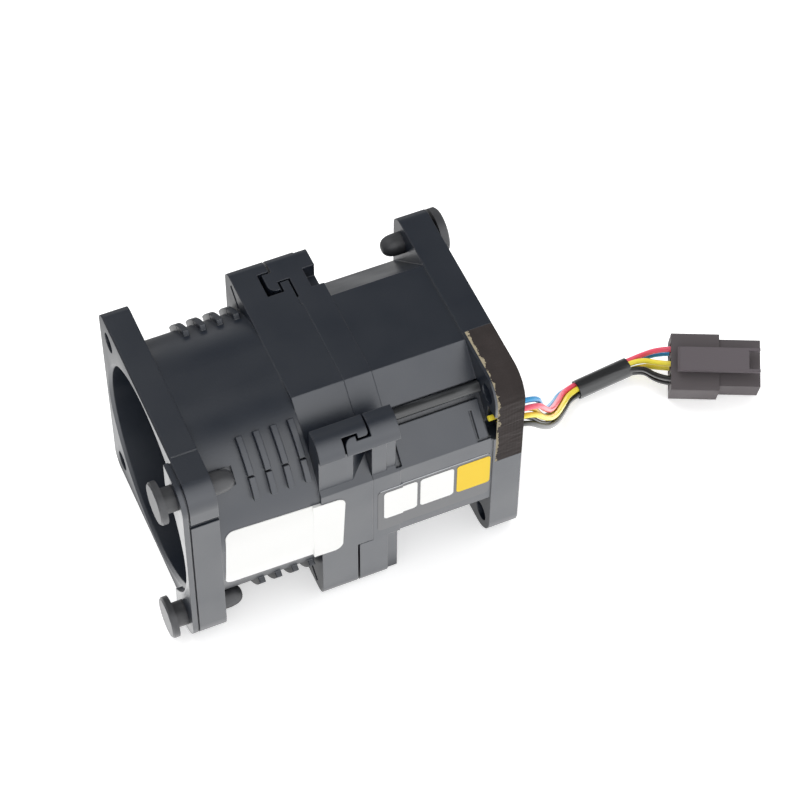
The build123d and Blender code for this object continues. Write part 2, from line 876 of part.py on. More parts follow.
def corner_radii(points):
    """For each corner, the arc whose tangents use just under half of the shorter run."""
    radii = []
    for before, corner, after in zip(points, points[1:], points[2:]):
        incoming = corner - before
        outgoing = after - corner
        half_turn = radians(incoming.get_angle(outgoing)) / 2
        radii.append(0.45 * min(incoming.length, outgoing.length) / tan(half_turn))
    return radii


def tube_along(points, radius):
    """A round cord on straight runs joined by arcs, with its length and tightest bend."""
    radii = corner_radii(points)
    path = FilletPolyline(*points, radius=radii)
    section = Plane(origin=path @ 0, z_dir=path % 0) * Circle(radius)
    return sweep(section, path=path), path.length, min(radii)


def channel_leads():
    """The motors' leads under one sleeve, straight along the channel to the flange."""
    distance = rear_barrel_half - channel_depth + leads_radius + 0.02
    place = on_slope(channel_start + 0.3, leads_place, distance)
    end = rear_flange_front - 0.1
    return rod(place.X, end, place.Y, place.Z, leads_radius)


def plug_axes():
    """The plug's own directions: along it, across it to the far side, and out of its top."""
    heading = radians(plug_heading)
    roll = radians(plug_roll)
    along = Vector(cos(heading), sin(heading), 0)
    level = Vector(-sin(heading), cos(heading), 0)
    up = Vector(0, 0, 1)
    across = level * cos(roll) + up * sin(roll)
    return along, across, along.cross(across)


def plug_centre():
    """The middle of the plug's back face, with the plug's lowest edge on the floor."""
    roll = radians(plug_roll)
    height = plug_width / 2 * sin(roll) + plug_thickness / 2 * cos(roll)
    return Vector(plug_back[0], plug_back[1], height)


def plug_place():
    along, _, out = plug_axes()
    return Plane(origin=plug_centre(), x_dir=along, z_dir=out).location


def in_plug(length, column, row):
    along, across, out = plug_axes()
    return plug_centre() + along * length + across * column + out * row


def cavity_places():
    return [(column * cavity_pitch, row * cavity_pitch / 2)
            for column in (-1, 0, 1) for row in (-1, 1)]


def along_box(l_range, w_range, t_range):
    """A box in the plug's own length, width and thickness."""
    middle = Pos(*((low + high) / 2 for low, high in (l_range, w_range, t_range)))
    return middle * Box(*(high - low for low, high in (l_range, w_range, t_range)))


def lever_pin_height():
    return plug_thickness / 2 + lever_rise + lever_groove_height


def plug_housing():
    back_length = plug_length - plug_nose_length
    width = plug_width / 2
    thick = plug_thickness / 2
    back = along_box((0, back_length), (-width, width), (-thick, thick))
    back = fillet(back.edges().filter_by(Axis.X), plug_corner)
    nose_width = width - plug_nose_inset
    nose_thick = thick - plug_nose_step
    nose = along_box((back_length, plug_length), (-nose_width, nose_width),
                     (-nose_thick, nose_thick))
    body = back + nose
    for w, t in cavity_places():
        body = body - Pos(plug_length / 2, w, t) * Box(plug_length, cavity_size, cavity_size)
    pin_height = lever_pin_height()
    pin = Pos(lever_pivot, 0, pin_height) * Rot(90, 0, 0)
    body = body + pin * Cylinder(lever_pin_radius, lever_pin_width)
    web = along_box((lever_pivot - lever_web / 2, lever_pivot + lever_web / 2),
                    (-lever_pin_width / 2, lever_pin_width / 2), (thick - 0.2, pin_height))
    return plug_place() * (body + web)


def plug_latch():
    """The lever that rocks on the pin, with two prongs in front round a catch opening."""
    low = plug_thickness / 2 + lever_rise
    side = lever_width / 2
    bar = along_box((lever_start, lever_end), (-side, side), (low, low + lever_thickness))
    bar = fillet(bar.edges().filter_by(Axis.Y).group_by(Axis.X)[0].sort_by(Axis.Z)[-1], 0.6)
    for sign in (-1, 1):
        inner = sign * (side - prong_width)
        edges = (min(inner, sign * side), max(inner, sign * side))
        bar = bar + along_box((lever_end, lever_end + prong_length), edges,
                              (low, low + lever_thickness))
    groove = Pos(lever_pivot, 0, lever_pin_height()) * Rot(90, 0, 0)
    groove_width = lever_pin_width + 0.3
    bar = bar - groove * Cylinder(lever_groove_radius, groove_width)
    opening = along_box((lever_pivot - 0.4, lever_pivot + 0.4),
                        (-groove_width / 2, groove_width / 2), (low - 0.1, low + 0.2))
    return plug_place() * (bar - opening)


def plug_terminals():
    terminals = []
    for w, t in cavity_places():
        middle = Pos(terminal_start + terminal_length / 2, w, t)
        pin = Box(terminal_length, terminal_size, terminal_size)
        pin = pin - Rot(0, 90, 0) * Cylinder(0.5, terminal_length)
        terminals.append(plug_place() * middle * pin)
    return Compound(terminals)


def station_frame(number):
    """Across and up at a point of the centre line, and its corner's inward direction."""
    points = [Vector(*place) for place, _, _ in stations] + [in_plug(-plug_lead_in, 0, 0)]
    after = (points[number + 1] - points[number]).normalized()
    before = after
    if number > 0:
        before = (points[number] - points[number - 1]).normalized()
    along = (before + after).normalized()
    across = Vector(0, 0, 1).cross(along).normalized()
    return points[number], across, along.cross(across), before, after, along


def station_offset(wire, number):
    """How far a wire lies from the centre line there: between its column and its ring."""
    (side, row), angle, _ = wires[wire]
    _, share, turn = stations[number]
    ring_angle = radians(angle)
    column_place = Vector(side * exit_column, row * exit_row, 0)
    ring_place = Vector(sleeve_ring * cos(ring_angle), sleeve_ring * sin(ring_angle), 0)
    place = column_place * (1 - share) + ring_place * share
    return place.rotate(Axis.Z, turn)


def wire_points(wire):
    """The wire's corners: its offset at each station, widened in the corner's plane."""
    points = []
    for number in range(len(stations)):
        centre, across, up, before, after, along = station_frame(number)
        place = station_offset(wire, number)
        shift = across * place.X + up * place.Y
        bend = after - before
        if bend.length > 0.01:
            inward = bend.normalized()
            widen = 1 / along.dot(before) - 1
            shift = shift + inward * (shift.dot(inward) * widen)
        points.append(centre + shift)
    column, row = wires[wire][2]
    place = (column * cavity_pitch, row * cavity_pitch / 2)
    points.append(in_plug(-plug_lead_in, *place))
    points.append(in_plug(terminal_start, *place))
    return points


def heat_shrink_sleeve():
    start = Vector(*stations[-3][0])
    end = Vector(*stations[-1][0])
    along = (end - start).normalized()
    origin = start + along * sleeve_start
    inner = sleeve_ring + wire_radius + sleeve_gap
    face = Circle(inner + sleeve_wall) - Circle(inner)
    return extrude(Plane(origin=origin, z_dir=along) * face, amount=sleeve_length)


def main():
    os.makedirs("parts", exist_ok=True)
    pieces = {"front_housing": front_housing(), "rear_housing": rear_housing()}
    pieces.update(fan_pieces("front", front_hub_length, front_blade_count, -1))
    pieces.update(fan_pieces("rear", rear_hub_length, rear_blade_count, 1))
    pin = rubber_pin(front_lip - inlet_x, front_flange + front_lip, pin_neck,
                     pin_head_radius, pin_head, pin_tail)
    pieces["front_rubber_pins"] = pin_pair(pin, -pin_place, -1)
    pin = rubber_pin(outlet_x, rear_flange, rear_pin_neck,
                     rear_pin_head_radius, rear_pin_head, rear_pin_tail)
    pieces["rear_rubber_pins"] = pin_pair(pin, rear_pin_place, 1)
    pieces["info_label"] = info_label(pieces["front_housing"])
    film = sticker_film(pieces["rear_housing"])
    pieces["sticker_film"] = film
    white = [film_patch(number, film, pieces["rear_housing"]) for number in (0, 1)]
    pieces["white_patches"] = Compound(white)
    pieces["yellow_patch"] = film_patch(2, film, pieces["rear_housing"])
    pieces["corner_tape"] = corner_tape()
    pieces["channel_leads"] = channel_leads()
    lifted = Pos(0, 0, half)
    for name, shape in pieces.items():
        export_step(lifted * shape, "parts/" + name + ".step")
    for name in wires:
        wire, length, tightest = tube_along(wire_points(name), wire_radius)
        print(name, "length", round(length, 1), "tightest bend", round(tightest, 2))
        export_step(wire, "parts/" + name + ".step")
    export_step(heat_shrink_sleeve(), "parts/heat_shrink_sleeve.step")
    export_step(plug_housing(), "parts/plug_housing.step")
    export_step(plug_latch(), "parts/plug_latch.step")
    export_step(plug_terminals(), "parts/plug_terminals.step")


main()
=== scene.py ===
# Looks for a server fan module: two 40 mm fans in line in one black duct, held by rubber
# pins, with a label, stickers, tape and a six-wire pigtail that ends in a latching plug.
# Lengths are in metres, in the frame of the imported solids; small sizes are given in mm.
import math

import bpy
import numpy as np
from mathutils import Matrix, Vector


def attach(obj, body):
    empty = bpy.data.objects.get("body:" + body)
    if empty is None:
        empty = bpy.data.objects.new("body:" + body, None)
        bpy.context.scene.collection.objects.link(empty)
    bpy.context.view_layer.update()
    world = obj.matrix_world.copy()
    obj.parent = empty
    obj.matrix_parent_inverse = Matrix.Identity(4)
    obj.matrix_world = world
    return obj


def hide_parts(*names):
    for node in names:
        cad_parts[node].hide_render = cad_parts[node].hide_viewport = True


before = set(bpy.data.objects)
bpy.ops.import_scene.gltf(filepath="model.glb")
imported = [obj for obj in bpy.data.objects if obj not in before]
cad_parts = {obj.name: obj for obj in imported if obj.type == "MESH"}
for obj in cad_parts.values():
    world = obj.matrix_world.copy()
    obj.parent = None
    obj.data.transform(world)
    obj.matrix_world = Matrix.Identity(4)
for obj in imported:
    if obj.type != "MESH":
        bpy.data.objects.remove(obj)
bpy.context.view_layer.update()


# Camera. It stands in front of the label side, to the inlet's side of the module, and looks
# down at it from well above, through a long lens. It aims a little right of and above the
# module's middle, so the module stands left in the picture.
mm = 0.001
axis_height = 20 * mm
camera_azimuth, camera_elevation, camera_roll = -24.14, 53.12, 0.76
camera_distance = 456.5 * mm
camera_shift_right, camera_shift_up = 14.2 * mm, 3.5 * mm


def axes_from(azimuth, elevation, roll):
    """Right, up and back of a camera: back points at the camera along azimuth and elevation,
    right is level, and both right and up are then turned about back by the roll."""
    a, e, r = (math.radians(angle) for angle in (azimuth, elevation, roll))
    back = Vector((math.sin(a) * math.cos(e), -math.cos(a) * math.cos(e), math.sin(e)))
    level = Vector((math.cos(a), math.sin(a), 0.0))
    rise = back.cross(level)
    right = level * math.cos(r) + rise * math.sin(r)
    return right, back.cross(right), back


right, up, back = axes_from(camera_azimuth, camera_elevation, camera_roll)
camera_data = bpy.data.cameras.new("camera")
camera_data.sensor_width = 36.0
camera_data.lens = 126.8
camera_data.clip_start, camera_data.clip_end = 0.05, 20.0
camera = bpy.data.objects.new("camera", camera_data)
place = Vector((0, 0, axis_height)) + back * camera_distance
place = place + right * camera_shift_right + up * camera_shift_up
turn = Matrix((right, up, back)).transposed()
camera.matrix_world = Matrix.Translation(place) @ turn.to_4x4()
bpy.context.scene.collection.objects.link(camera)
bpy.context.scene.camera = camera
bpy.context.scene.view_settings.view_transform = "Standard"


# The pigtail's six hook-up wires: stranded copper in soft PVC, 0.94 mm over the insulation.
# They leave the notch in the outlet flange straight, fall to the floor under their own
# weight, close up into a ring in the shrink sleeve and fan out again into the plug.
wire_diameter = 0.94 * mm

# Five wires start in the dark of the notch, and the first yellow one 1.3 mm short of them,
# so that a bit of it shows beside the tape.
wire_routes = {
    "blue_wire": [
        (0.02400, -0.01800, 0.03277), (0.03103, -0.01787, 0.03274), (0.03428, -0.01375, 0.02309),
        (0.03798, -0.00867, 0.01383), (0.04241, -0.00292, 0.00591), (0.04643, 0.00171, 0.00159),
        (0.05184, 0.00209, 0.00171), (0.06216, 0.00267, 0.00178), (0.06461, 0.00064, 0.00465),
        (0.06788, -0.00087, 0.00465),
    ],
    "red_wire": [
        (0.02400, -0.01890, 0.03192), (0.03077, -0.01882, 0.03195), (0.03483, -0.01469, 0.02290),
        (0.03885, -0.00918, 0.01395), (0.04326, -0.00312, 0.00638), (0.04693, 0.00129, 0.00249),
        (0.05182, 0.00175, 0.00264), (0.06181, 0.00275, 0.00274), (0.06419, -0.00028, 0.00715),
        (0.06745, -0.00179, 0.00715),
    ],
    "yellow_wire_1": [
        (0.02270, -0.01800, 0.03107), (0.03003, -0.01798, 0.03105), (0.03361, -0.01475, 0.02227),
        (0.03770, -0.00957, 0.01304), (0.04233, -0.00366, 0.00513), (0.04640, 0.00117, 0.00075),
        (0.05192, 0.00146, 0.00095), (0.06185, 0.00174, 0.00136), (0.06356, -0.00163, 0.00363),
        (0.06683, -0.00314, 0.00363),
    ],
    "yellow_wire_2": [
        (0.02400, -0.01890, 0.03022), (0.02977, -0.01892, 0.03025), (0.03439, -0.01585, 0.02213),
        (0.03910, -0.01023, 0.01336), (0.04387, -0.00394, 0.00607), (0.04740, 0.00033, 0.00255),
        (0.05188, 0.00078, 0.00281), (0.06115, 0.00190, 0.00330), (0.06314, -0.00255, 0.00614),
        (0.06640, -0.00406, 0.00614),
    ],
    "black_wire_1": [
        (0.02400, -0.01800, 0.02937), (0.02903, -0.01808, 0.02935), (0.03317, -0.01591, 0.02150),
        (0.03795, -0.01062, 0.01245), (0.04294, -0.00448, 0.00482), (0.04687, 0.00021, 0.00081),
        (0.05198, 0.00049, 0.00112), (0.06119, 0.00089, 0.00192), (0.06251, -0.00390, 0.00262),
        (0.06578, -0.00541, 0.00262),
    ],
    "black_wire_2": [
        (0.02400, -0.01890, 0.02852), (0.02877, -0.01903, 0.02856), (0.03372, -0.01685, 0.02131),
        (0.03882, -0.01113, 0.01257), (0.04379, -0.00468, 0.00529), (0.04737, -0.00021, 0.00171),
        (0.05196, 0.00015, 0.00205), (0.06084, 0.00097, 0.00288), (0.06209, -0.00482, 0.00513),
        (0.06535, -0.00633, 0.00513),
    ],
}


def linear(code):
    """Turns an sRGB hex colour into linear red, green and blue, with an alpha of 1."""
    shares = np.array([int(code[place:place + 2], 16) for place in (1, 3, 5)]) / 255
    values = np.where(shares <= 0.04045, shares / 12.92, ((shares + 0.055) / 1.055) ** 2.4)
    return (*values.tolist(), 1.0)


def add(tree, kind, inputs=None, **settings):
    """Adds a node with its settings; each input is given a value or linked to a socket."""
    made = tree.nodes.new(kind)
    for name, value in settings.items():
        setattr(made, name, value)
    for name, value in (inputs or {}).items():
        if isinstance(value, bpy.types.NodeSocket):
            tree.links.new(value, made.inputs[name])
        else:
            made.inputs[name].default_value = value
    return made


def begin(name):
    """A new material with its Principled shader and the coordinates of its object."""
    material = bpy.data.materials.new(name)
    material.use_nodes = True
    tree = material.node_tree
    shader = tree.nodes["Principled BSDF"]
    place = add(tree, "ShaderNodeTexCoord")
    return material, tree, shader, place.outputs["Object"]


def soft_pvc(name, code, deep_code):
    """Extruded soft PVC: smooth and glossy, a little deeper in colour in patches of about
    5.6 mm, where the insulation is thicker over the strands."""
    material, tree, shader, place = begin(name)
    patches = add(tree, "ShaderNodeTexNoise", {"Vector": place, "Scale": 1 / (5.56 * mm),
                                               "Detail": 2.0})
    colour = add(tree, "ShaderNodeMix", {"Factor": patches.outputs["Fac"], "A": linear(code),
                                         "B": linear(deep_code)}, data_type="RGBA")
    tree.links.new(colour.outputs["Result"], shader.inputs["Base Color"])
    shader.inputs["Roughness"].default_value = 0.42
    shader.inputs["IOR"].default_value = 1.53
    return material


wire_materials = {
    "blue_wire": soft_pvc("blue_pvc_insulation", "#27a4e2", "#1f90cb"),
    "red_wire": soft_pvc("pink_red_pvc_insulation", "#ff607a", "#f0506b"),
    "yellow_wire_1": soft_pvc("yellow_pvc_insulation", "#fff04c", "#f7e138"),
    "black_wire_1": soft_pvc("black_pvc_insulation", "#1c1d1f", "#141516"),
}
wire_materials["yellow_wire_2"] = wire_materials["yellow_wire_1"]
wire_materials["black_wire_2"] = wire_materials["black_wire_1"]

for name, route in wire_routes.items():
    curve = bpy.data.curves.new(name + "_insulation", "CURVE")
    curve.dimensions = "3D"
    curve.bevel_depth = wire_diameter / 2
    curve.bevel_resolution = 4
    curve.resolution_u = 12
    curve.use_fill_caps = True
    spline = curve.splines.new("NURBS")
    spline.points.add(len(route) - 1)
    for point, corner in zip(spline.points, route):
        point.co = (*corner, 1.0)
    spline.order_u = 3
    spline.use_endpoint_u = True
    wire = bpy.data.objects.new(name + "_insulation", curve)
    bpy.context.scene.collection.objects.link(wire)
    curve.materials.append(wire_materials[name])
    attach(wire, "module")
    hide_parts(name)


# Shrink sleeve round the six wires, and a like one round the leads in the housing's
# channel: black polyolefin tube, shrunk on with hot air. It is satin, and the wires show
# through it as long low ridges.
def dress(name, material):
    """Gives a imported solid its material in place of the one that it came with."""
    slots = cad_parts[name].data.materials
    slots.clear()
    slots.append(material)


def sleeve_polyolefin():
    """Shrunk tube: soft ridges 1.1 mm wide and eight times as long lie along the wires,
    lighter grey where they stand highest, over a fine skin of 0.4 mm."""
    material, tree, shader, place = begin("black_shrink_polyolefin")
    along = add(tree, "ShaderNodeMapping", {"Vector": place, "Scale": (0.12, 1.0, 1.0)})
    ridges = add(tree, "ShaderNodeTexNoise", {"Vector": along.outputs["Vector"],
                                              "Scale": 1 / (1.1 * mm), "Detail": 1.0})
    folds = add(tree, "ShaderNodeBump", {"Height": ridges.outputs["Fac"], "Strength": 0.5,
                                         "Distance": 0.35 * mm})
    skin = add(tree, "ShaderNodeTexNoise", {"Vector": place, "Scale": 1 / (0.4 * mm),
                                            "Detail": 3.0})
    grain = add(tree, "ShaderNodeBump", {"Height": skin.outputs["Fac"], "Strength": 0.3,
                                         "Distance": 0.03 * mm,
                                         "Normal": folds.outputs["Normal"]})
    tree.links.new(grain.outputs["Normal"], shader.inputs["Normal"])
    # Lighter grey where the ridges stand highest.
    ridge_tops = add(tree, "ShaderNodeMapRange", {"Value": ridges.outputs["Fac"], "From Min": 0.5,
                                              "From Max": 0.72})
    colour = add(tree, "ShaderNodeMix", {"Factor": ridge_tops.outputs["Result"],
                                         "A": linear("#1e2022"), "B": linear("#4b4d4f")},
                 data_type="RGBA")
    tree.links.new(colour.outputs["Result"], shader.inputs["Base Color"])
    shader.inputs["Roughness"].default_value = 0.38
    return material


black_polyolefin = sleeve_polyolefin()
dress("heat_shrink_sleeve", black_polyolefin)
dress("channel_leads", black_polyolefin)


# Plug: a six-way housing in grey-black nylon, moulded in a spark-eroded tool, so it has a
# fine even grain. The latch lever is a separate moulding of the same nylon, slightly
# lighter, and the terminals are tinned brass, stamped and rolled.
def moulded(name, code, roughness, grain, depth, edge, shine=0.5):
    """Moulded plastic: grain is the texture's size and depth its height, both in mm, edge
    is the radius in mm at which light rolls over a corner, and shine is 0.5 for a clean
    surface and less for a dull, dusty one. The polish varies a little where the melt
    flowed, in patches of about 8 mm."""
    material, tree, shader, place = begin(name)
    corner = add(tree, "ShaderNodeBevel", {"Radius": edge * mm}, samples=6)
    texture = add(tree, "ShaderNodeTexNoise", {"Vector": place, "Scale": 1 / (grain * mm),
                                               "Detail": 2.0, "Roughness": 0.6})
    relief = add(tree, "ShaderNodeBump", {"Height": texture.outputs["Fac"], "Strength": 0.5,
                                          "Distance": depth * mm,
                                          "Normal": corner.outputs["Normal"]})
    flow = add(tree, "ShaderNodeTexNoise", {"Vector": place, "Scale": 1 / (8.33 * mm),
                                            "Detail": 3.0})
    polish = add(tree, "ShaderNodeMapRange", {"Value": flow.outputs["Fac"], "From Min": 0.3,
                                              "From Max": 0.7, "To Min": roughness - 0.05,
                                              "To Max": roughness + 0.06})
    tree.links.new(polish.outputs["Result"], shader.inputs["Roughness"])
    tree.links.new(relief.outputs["Normal"], shader.inputs["Normal"])
    shader.inputs["Base Color"].default_value = linear(code)
    shader.inputs["IOR"].default_value = 1.53
    shader.inputs["Specular IOR Level"].default_value = shine
    return material


dress("plug_housing", moulded("grey_black_nylon", "#5c5759", roughness=0.7, grain=0.25,
                              depth=0.02, edge=0.15, shine=0.12))
dress("plug_latch", moulded("grey_nylon_lever", "#625c60", roughness=0.6, grain=0.25,
                            depth=0.02, edge=0.15, shine=0.2))


def stamped_metal(name, code, roughness, grain):
    """Bare or plated metal of one colour, whose polish varies a little with a fine grain,
    given in mm."""
    material, tree, shader, place = begin(name)
    texture = add(tree, "ShaderNodeTexNoise", {"Vector": place, "Scale": 1 / (grain * mm),
                                               "Detail": 3.0})
    polish = add(tree, "ShaderNodeMapRange", {"Value": texture.outputs["Fac"],
                                              "To Min": roughness - 0.08,
                                              "To Max": roughness + 0.08})
    tree.links.new(polish.outputs["Result"], shader.inputs["Roughness"])
    shader.inputs["Base Color"].default_value = linear(code)
    shader.inputs["Metallic"].default_value = 1.0
    return material


dress("plug_terminals", stamped_metal("tinned_brass", "#cfc6a8", roughness=0.35, grain=0.3))


# Duct housings, one for each fan: glass-filled PBT, black with a blue cast, moulded with
# the hooks that hold the two together. The surface is satin with a fine grain.
black_pbt = moulded("black_glass_filled_pbt", "#1c222c", roughness=0.36, grain=0.3,
                    depth=0.02, edge=0.25)
dress("front_housing", black_pbt)
dress("rear_housing", black_pbt)


# Impellers: the same kind of plastic, moulded in a more polished tool, so they are a
# little smoother than the housings. Each is one piece with its hub cup.
impeller_pbt = moulded("black_impeller_pbt", "#202226", roughness=0.32, grain=0.4,
                       depth=0.01, edge=0.2)
dress("front_impeller", impeller_pbt)
dress("rear_impeller", impeller_pbt)


# Rubber pins: moulded from soft black rubber and pulled through the flanges' holes. They
# are satin, with a faint bloom of grey dust.
def pin_rubber():
    """Soft rubber with grey bloom in patches of about 2 mm."""
    material, tree, shader, place = begin("black_epdm_rubber")
    bloom = add(tree, "ShaderNodeTexNoise", {"Vector": place, "Scale": 1 / (2 * mm),
                                             "Detail": 4.0})
    colour = add(tree, "ShaderNodeMix", {"Factor": bloom.outputs["Fac"],
                                         "A": linear("#28292c"), "B": linear("#3f4043")},
                 data_type="RGBA")
    tree.links.new(colour.outputs["Result"], shader.inputs["Base Color"])
    shader.inputs["Roughness"].default_value = 0.5
    return material


black_rubber = pin_rubber()
dress("front_rubber_pins", black_rubber)
dress("rear_rubber_pins", black_rubber)


# Label: a white polyester sheet, die cut with round corners and stuck round the near side
# of the front fan's duct, a hair out of level.
def label_sheet(name, code, roughness):
    """Coated label stock of one even colour. It is very softly uneven, in patches of
    2.5 mm, where the sheet follows the plastic under it."""
    material, tree, shader, place = begin(name)
    waves = add(tree, "ShaderNodeTexNoise", {"Vector": place, "Scale": 1 / (2.5 * mm),
                                             "Detail": 2.0})
    relief = add(tree, "ShaderNodeBump", {"Height": waves.outputs["Fac"], "Strength": 0.25,
                                          "Distance": 0.05 * mm})
    tree.links.new(relief.outputs["Normal"], shader.inputs["Normal"])
    shader.inputs["Base Color"].default_value = linear(code)
    shader.inputs["Roughness"].default_value = roughness
    return material


white_polyester = label_sheet("white_polyester_label", "#f8f8f6", roughness=0.4)
dress("info_label", white_polyester)


# Sticker film: a thin smoky clear carrier film on the near side of the rear fan. A painted
# highlight runs as a light line along its upper edge.
def carrier_film(upper_edge):
    """Smooth dark film with a ripple of 4 mm; about 0.13 mm next to the upper edge it is
    painted whitish, a painted highlight on the cut edge."""
    material, tree, shader, place = begin("smoky_clear_film")
    split = add(tree, "ShaderNodeSeparateXYZ", {"Vector": place})
    # Painted highlight: the band just under the upper edge is mixed to light grey.
    edge_highlight = add(tree, "ShaderNodeMapRange", {"Value": split.outputs["Z"],
                                             "From Min": upper_edge - 0.16 * mm,
                                             "From Max": upper_edge - 0.10 * mm})
    colour = add(tree, "ShaderNodeMix", {"Factor": edge_highlight.outputs["Result"],
                                         "A": linear("#303237"), "B": linear("#c4c7cc")},
                 data_type="RGBA")
    ripple = add(tree, "ShaderNodeTexNoise", {"Vector": place, "Scale": 1 / (4 * mm)})
    relief = add(tree, "ShaderNodeBump", {"Height": ripple.outputs["Fac"], "Strength": 0.3,
                                          "Distance": 0.06 * mm})
    tree.links.new(colour.outputs["Result"], shader.inputs["Base Color"])
    tree.links.new(relief.outputs["Normal"], shader.inputs["Normal"])
    shader.inputs["Roughness"].default_value = 0.3
    return material


film_upper_edge = 24.3 * mm
dress("sticker_film", carrier_film(film_upper_edge))


# Patches: two white stickers and one yellow one in a row on the film, die cut from coated
# label stock with round corners.
dress("white_patches", white_polyester)
dress("yellow_patch", label_sheet("yellow_label_stock", "#f5cf2a", roughness=0.6))


# Corner tape: a strip of brown-black acetate cloth tape, folded over the near top edge of
# the outlet flange to hold the wires down. Its left edge was torn and shows cream glue.
def cloth_tape(left_edge):
    """Cloth tape with long creases 1.6 mm wide, a weave of about 0.5 mm, brown stains of
    3 mm and an uneven cream line, at most 0.75 mm wide, along the torn edge."""
    material, tree, shader, place = begin("brown_black_cloth_tape")
    split = add(tree, "ShaderNodeSeparateXYZ", {"Vector": place})
    ravel = add(tree, "ShaderNodeTexNoise", {"Vector": place, "Scale": 1 / (1.3 * mm),
                                             "Detail": 4.0, "Roughness": 0.7})
    glue_end = add(tree, "ShaderNodeMapRange", {"Value": ravel.outputs["Fac"],
                                                "From Min": 0.38, "From Max": 0.68,
                                                "To Min": left_edge - 0.05 * mm,
                                                "To Max": left_edge + 0.75 * mm})
    glue = add(tree, "ShaderNodeMath", {0: split.outputs["X"], 1: glue_end.outputs["Result"]},
               operation="LESS_THAN")
    stain = add(tree, "ShaderNodeTexNoise", {"Vector": place, "Scale": 1 / (3 * mm),
                                             "Detail": 3.0})
    cloth = add(tree, "ShaderNodeMix", {"Factor": stain.outputs["Fac"],
                                        "A": linear("#2b2726"), "B": linear("#403a39")},
                data_type="RGBA")
    colour = add(tree, "ShaderNodeMix", {"Factor": glue.outputs["Value"],
                                         "A": cloth.outputs["Result"],
                                         "B": linear("#a0967f")}, data_type="RGBA")
    across = add(tree, "ShaderNodeMapping", {"Vector": place, "Scale": (0.3, 1.0, 1.0)})
    creases = add(tree, "ShaderNodeTexNoise", {"Vector": across.outputs["Vector"],
                                               "Scale": 1 / (1.6 * mm), "Detail": 2.0,
                                               "Distortion": 0.6})
    folds = add(tree, "ShaderNodeBump", {"Height": creases.outputs["Fac"], "Strength": 0.8,
                                         "Distance": 0.45 * mm})
    weave = add(tree, "ShaderNodeTexWave", {"Vector": place, "Scale": 1 / (1.6 * mm),
                                            "Distortion": 1.0, "Detail": 2.0})
    relief = add(tree, "ShaderNodeBump", {"Height": weave.outputs["Fac"], "Strength": 0.3,
                                          "Distance": 0.03 * mm,
                                          "Normal": folds.outputs["Normal"]})
    tree.links.new(colour.outputs["Result"], shader.inputs["Base Color"])
    tree.links.new(relief.outputs["Normal"], shader.inputs["Normal"])
    shader.inputs["Roughness"].default_value = 0.75
    shader.inputs["Specular IOR Level"].default_value = 0.12
    return material


tape_left_edge = 23.3 * mm
dress("corner_tape", cloth_tape(tape_left_edge))


# Motors, one hidden in each hub: a bright steel shaft in two small ball bearings inside a
# turned brass tube, with lacquered copper coils on steel sheets and a bonded ferrite ring
# in a deep-drawn steel cup. The boards behind them have green solder mask.
bright_steel = stamped_metal("bright_steel", "#c9cbce", roughness=0.25, grain=0.2)
motor_materials = {
    "rotor_yoke": stamped_metal("deep_drawn_steel", "#9a9c9f", roughness=0.35, grain=0.3),
    "stator_core": stamped_metal("silicon_steel_sheet", "#8f9196", roughness=0.4, grain=0.3),
    "bearing_tube": stamped_metal("turned_brass", "#c9a45c", roughness=0.3, grain=0.3),
    "coils": stamped_metal("enamelled_copper_wire", "#b3613a", roughness=0.3, grain=0.1),
    "ring_magnet": moulded("bonded_ferrite", "#2f2b2b", roughness=0.7, grain=0.1,
                           depth=0.02, edge=0.1),
    "coil_insulators": moulded("white_nylon", "#e6e3da", roughness=0.5, grain=0.2,
                               depth=0.01, edge=0.1),
    "circuit_board": moulded("green_solder_mask", "#14502e", roughness=0.3, grain=0.5,
                             depth=0.01, edge=0.1),
}
for piece in ("shaft", "retaining_clip", "preload_washer", "bearing_outer_rings",
              "bearing_inner_rings", "bearing_balls"):
    motor_materials[piece] = bright_steel
for end in ("front", "rear"):
    for piece, material in motor_materials.items():
        dress(end + "_" + piece, material)


# Stage: a sweep of white paper that the camera sees just blown out, so that only the
# contact shadow stays. To glossy rays the paper is bright in front of the module and fades
# behind it, as under a panel lamp in front.
white = (1.0, 1.0, 1.0, 1.0)
floor_reach = 6.0
camera_glow = 0.5
card_in_front, card_behind = 3.0, 0.25
shaded_share = 0.2


